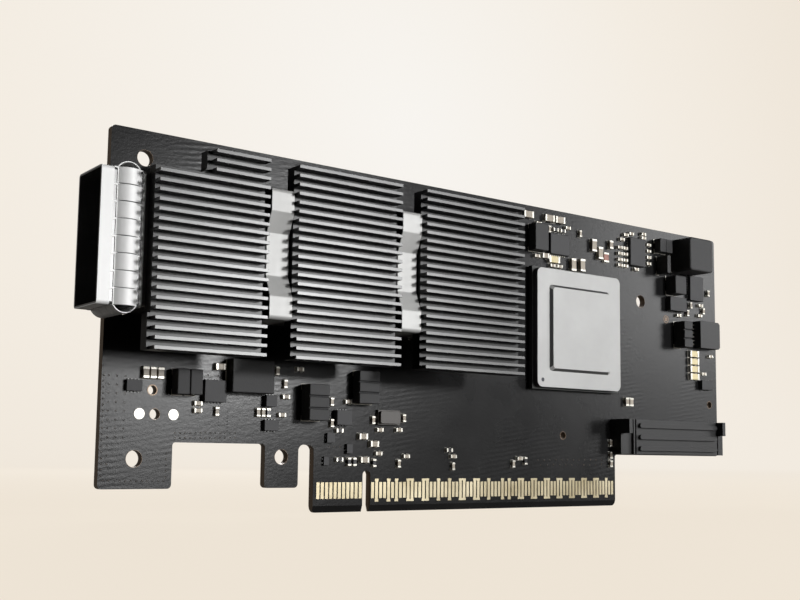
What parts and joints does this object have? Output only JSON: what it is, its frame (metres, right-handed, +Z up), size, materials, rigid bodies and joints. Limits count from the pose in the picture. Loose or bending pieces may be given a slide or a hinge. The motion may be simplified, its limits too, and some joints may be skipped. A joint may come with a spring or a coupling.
{
  "type": "ethernet adapter card",
  "caption": "Low-profile network adapter card with a sixteen-lane card edge, one transceiver cage under a finned heat sink, and a lidded main chip.",
  "frame": {"origin": "centre line of the card edge's key notch, at the tongue's bottom edge, mid-thickness of the board", "axes": "+X along the card away from the port end, +Z up from the card edge, -Y out of the component side"},
  "size_m": [0.1731, 0.017, 0.0689],
  "materials": {
    "solder_mask": "satin dark grey lacquer over fibreglass laminate",
    "gold_contact": "thin gold over copper",
    "tin_ends": "matte tin plating",
    "cage_steel": "plated folded sheet",
    "gasket_steel": "bright plated spring strip",
    "connector_plastic": "moulded black plastic",
    "sink_aluminium": "plain extruded and milled",
    "clip_steel": "bent spring strip",
    "chip_laminate": "dark laminate",
    "silicon": "polished",
    "thermal_compound": "thin paste",
    "lid_metal": "satin nickel plating",
    "ferrite": "moulded iron powder",
    "moulded_epoxy": "fine-grained moulding",
    "ceramic_body": "fired ceramic",
    "tantalum_resin": "yellow moulded resin",
    "fuse_ceramic": "reddish ceramic"
  },
  "bodies": {
    "root": {"aux_connector_contacts": "gold_contact", "aux_connector_housing": "connector_plastic", "back_capacitor_bodies": "ceramic_body", "back_capacitor_terminals": "tin_ends", "back_chip_leads": "tin_ends", "back_chips": "moulded_epoxy", "board": "solder_mask", "board_fuse_body": "fuse_ceramic", "board_fuse_terminals": "tin_ends", "capacitor_bodies": "ceramic_body", "capacitor_terminals": "tin_ends", "chip_die": "silicon", "chip_lid": "lid_metal", "chip_solder_balls": "tin_ends", "chip_substrate": "chip_laminate", "chip_thermal_layer": "thermal_compound", "clock_oscillator_base": "ceramic_body", "clock_oscillator_lid": "lid_metal", "corner_inductor": "ferrite", "edge_contacts_back": "gold_contact", "edge_contacts_front": "gold_contact", "flash_memory": "moulded_epoxy", "flash_memory_leads": "tin_ends", "heat_sink": "sink_aluminium", "inductor_feet": "tin_ends", "port_cage": "cage_steel", "port_connector_contacts": "gold_contact", "port_connector_housing": "connector_plastic", "port_gasket": "gasket_steel", "power_inductor_bodies": "ferrite", "resistor_bodies": "moulded_epoxy", "resistor_terminals": "tin_ends", "side_connector_contacts": "tin_ends", "side_connector_housing": "connector_plastic", "sink_clip_near_chip": "clip_steel", "sink_clip_near_port": "clip_steel", "small_chip_leads": "tin_ends", "small_chips": "moulded_epoxy", "tantalum_bodies": "tantalum_resin", "tantalum_terminals": "tin_ends", "target_discs": "tin_ends", "three_cell_inductor_bodies": "ferrite", "voltage_controller": "moulded_epoxy", "voltage_controller_leads": "tin_ends"}
  },
  "joints": []
}
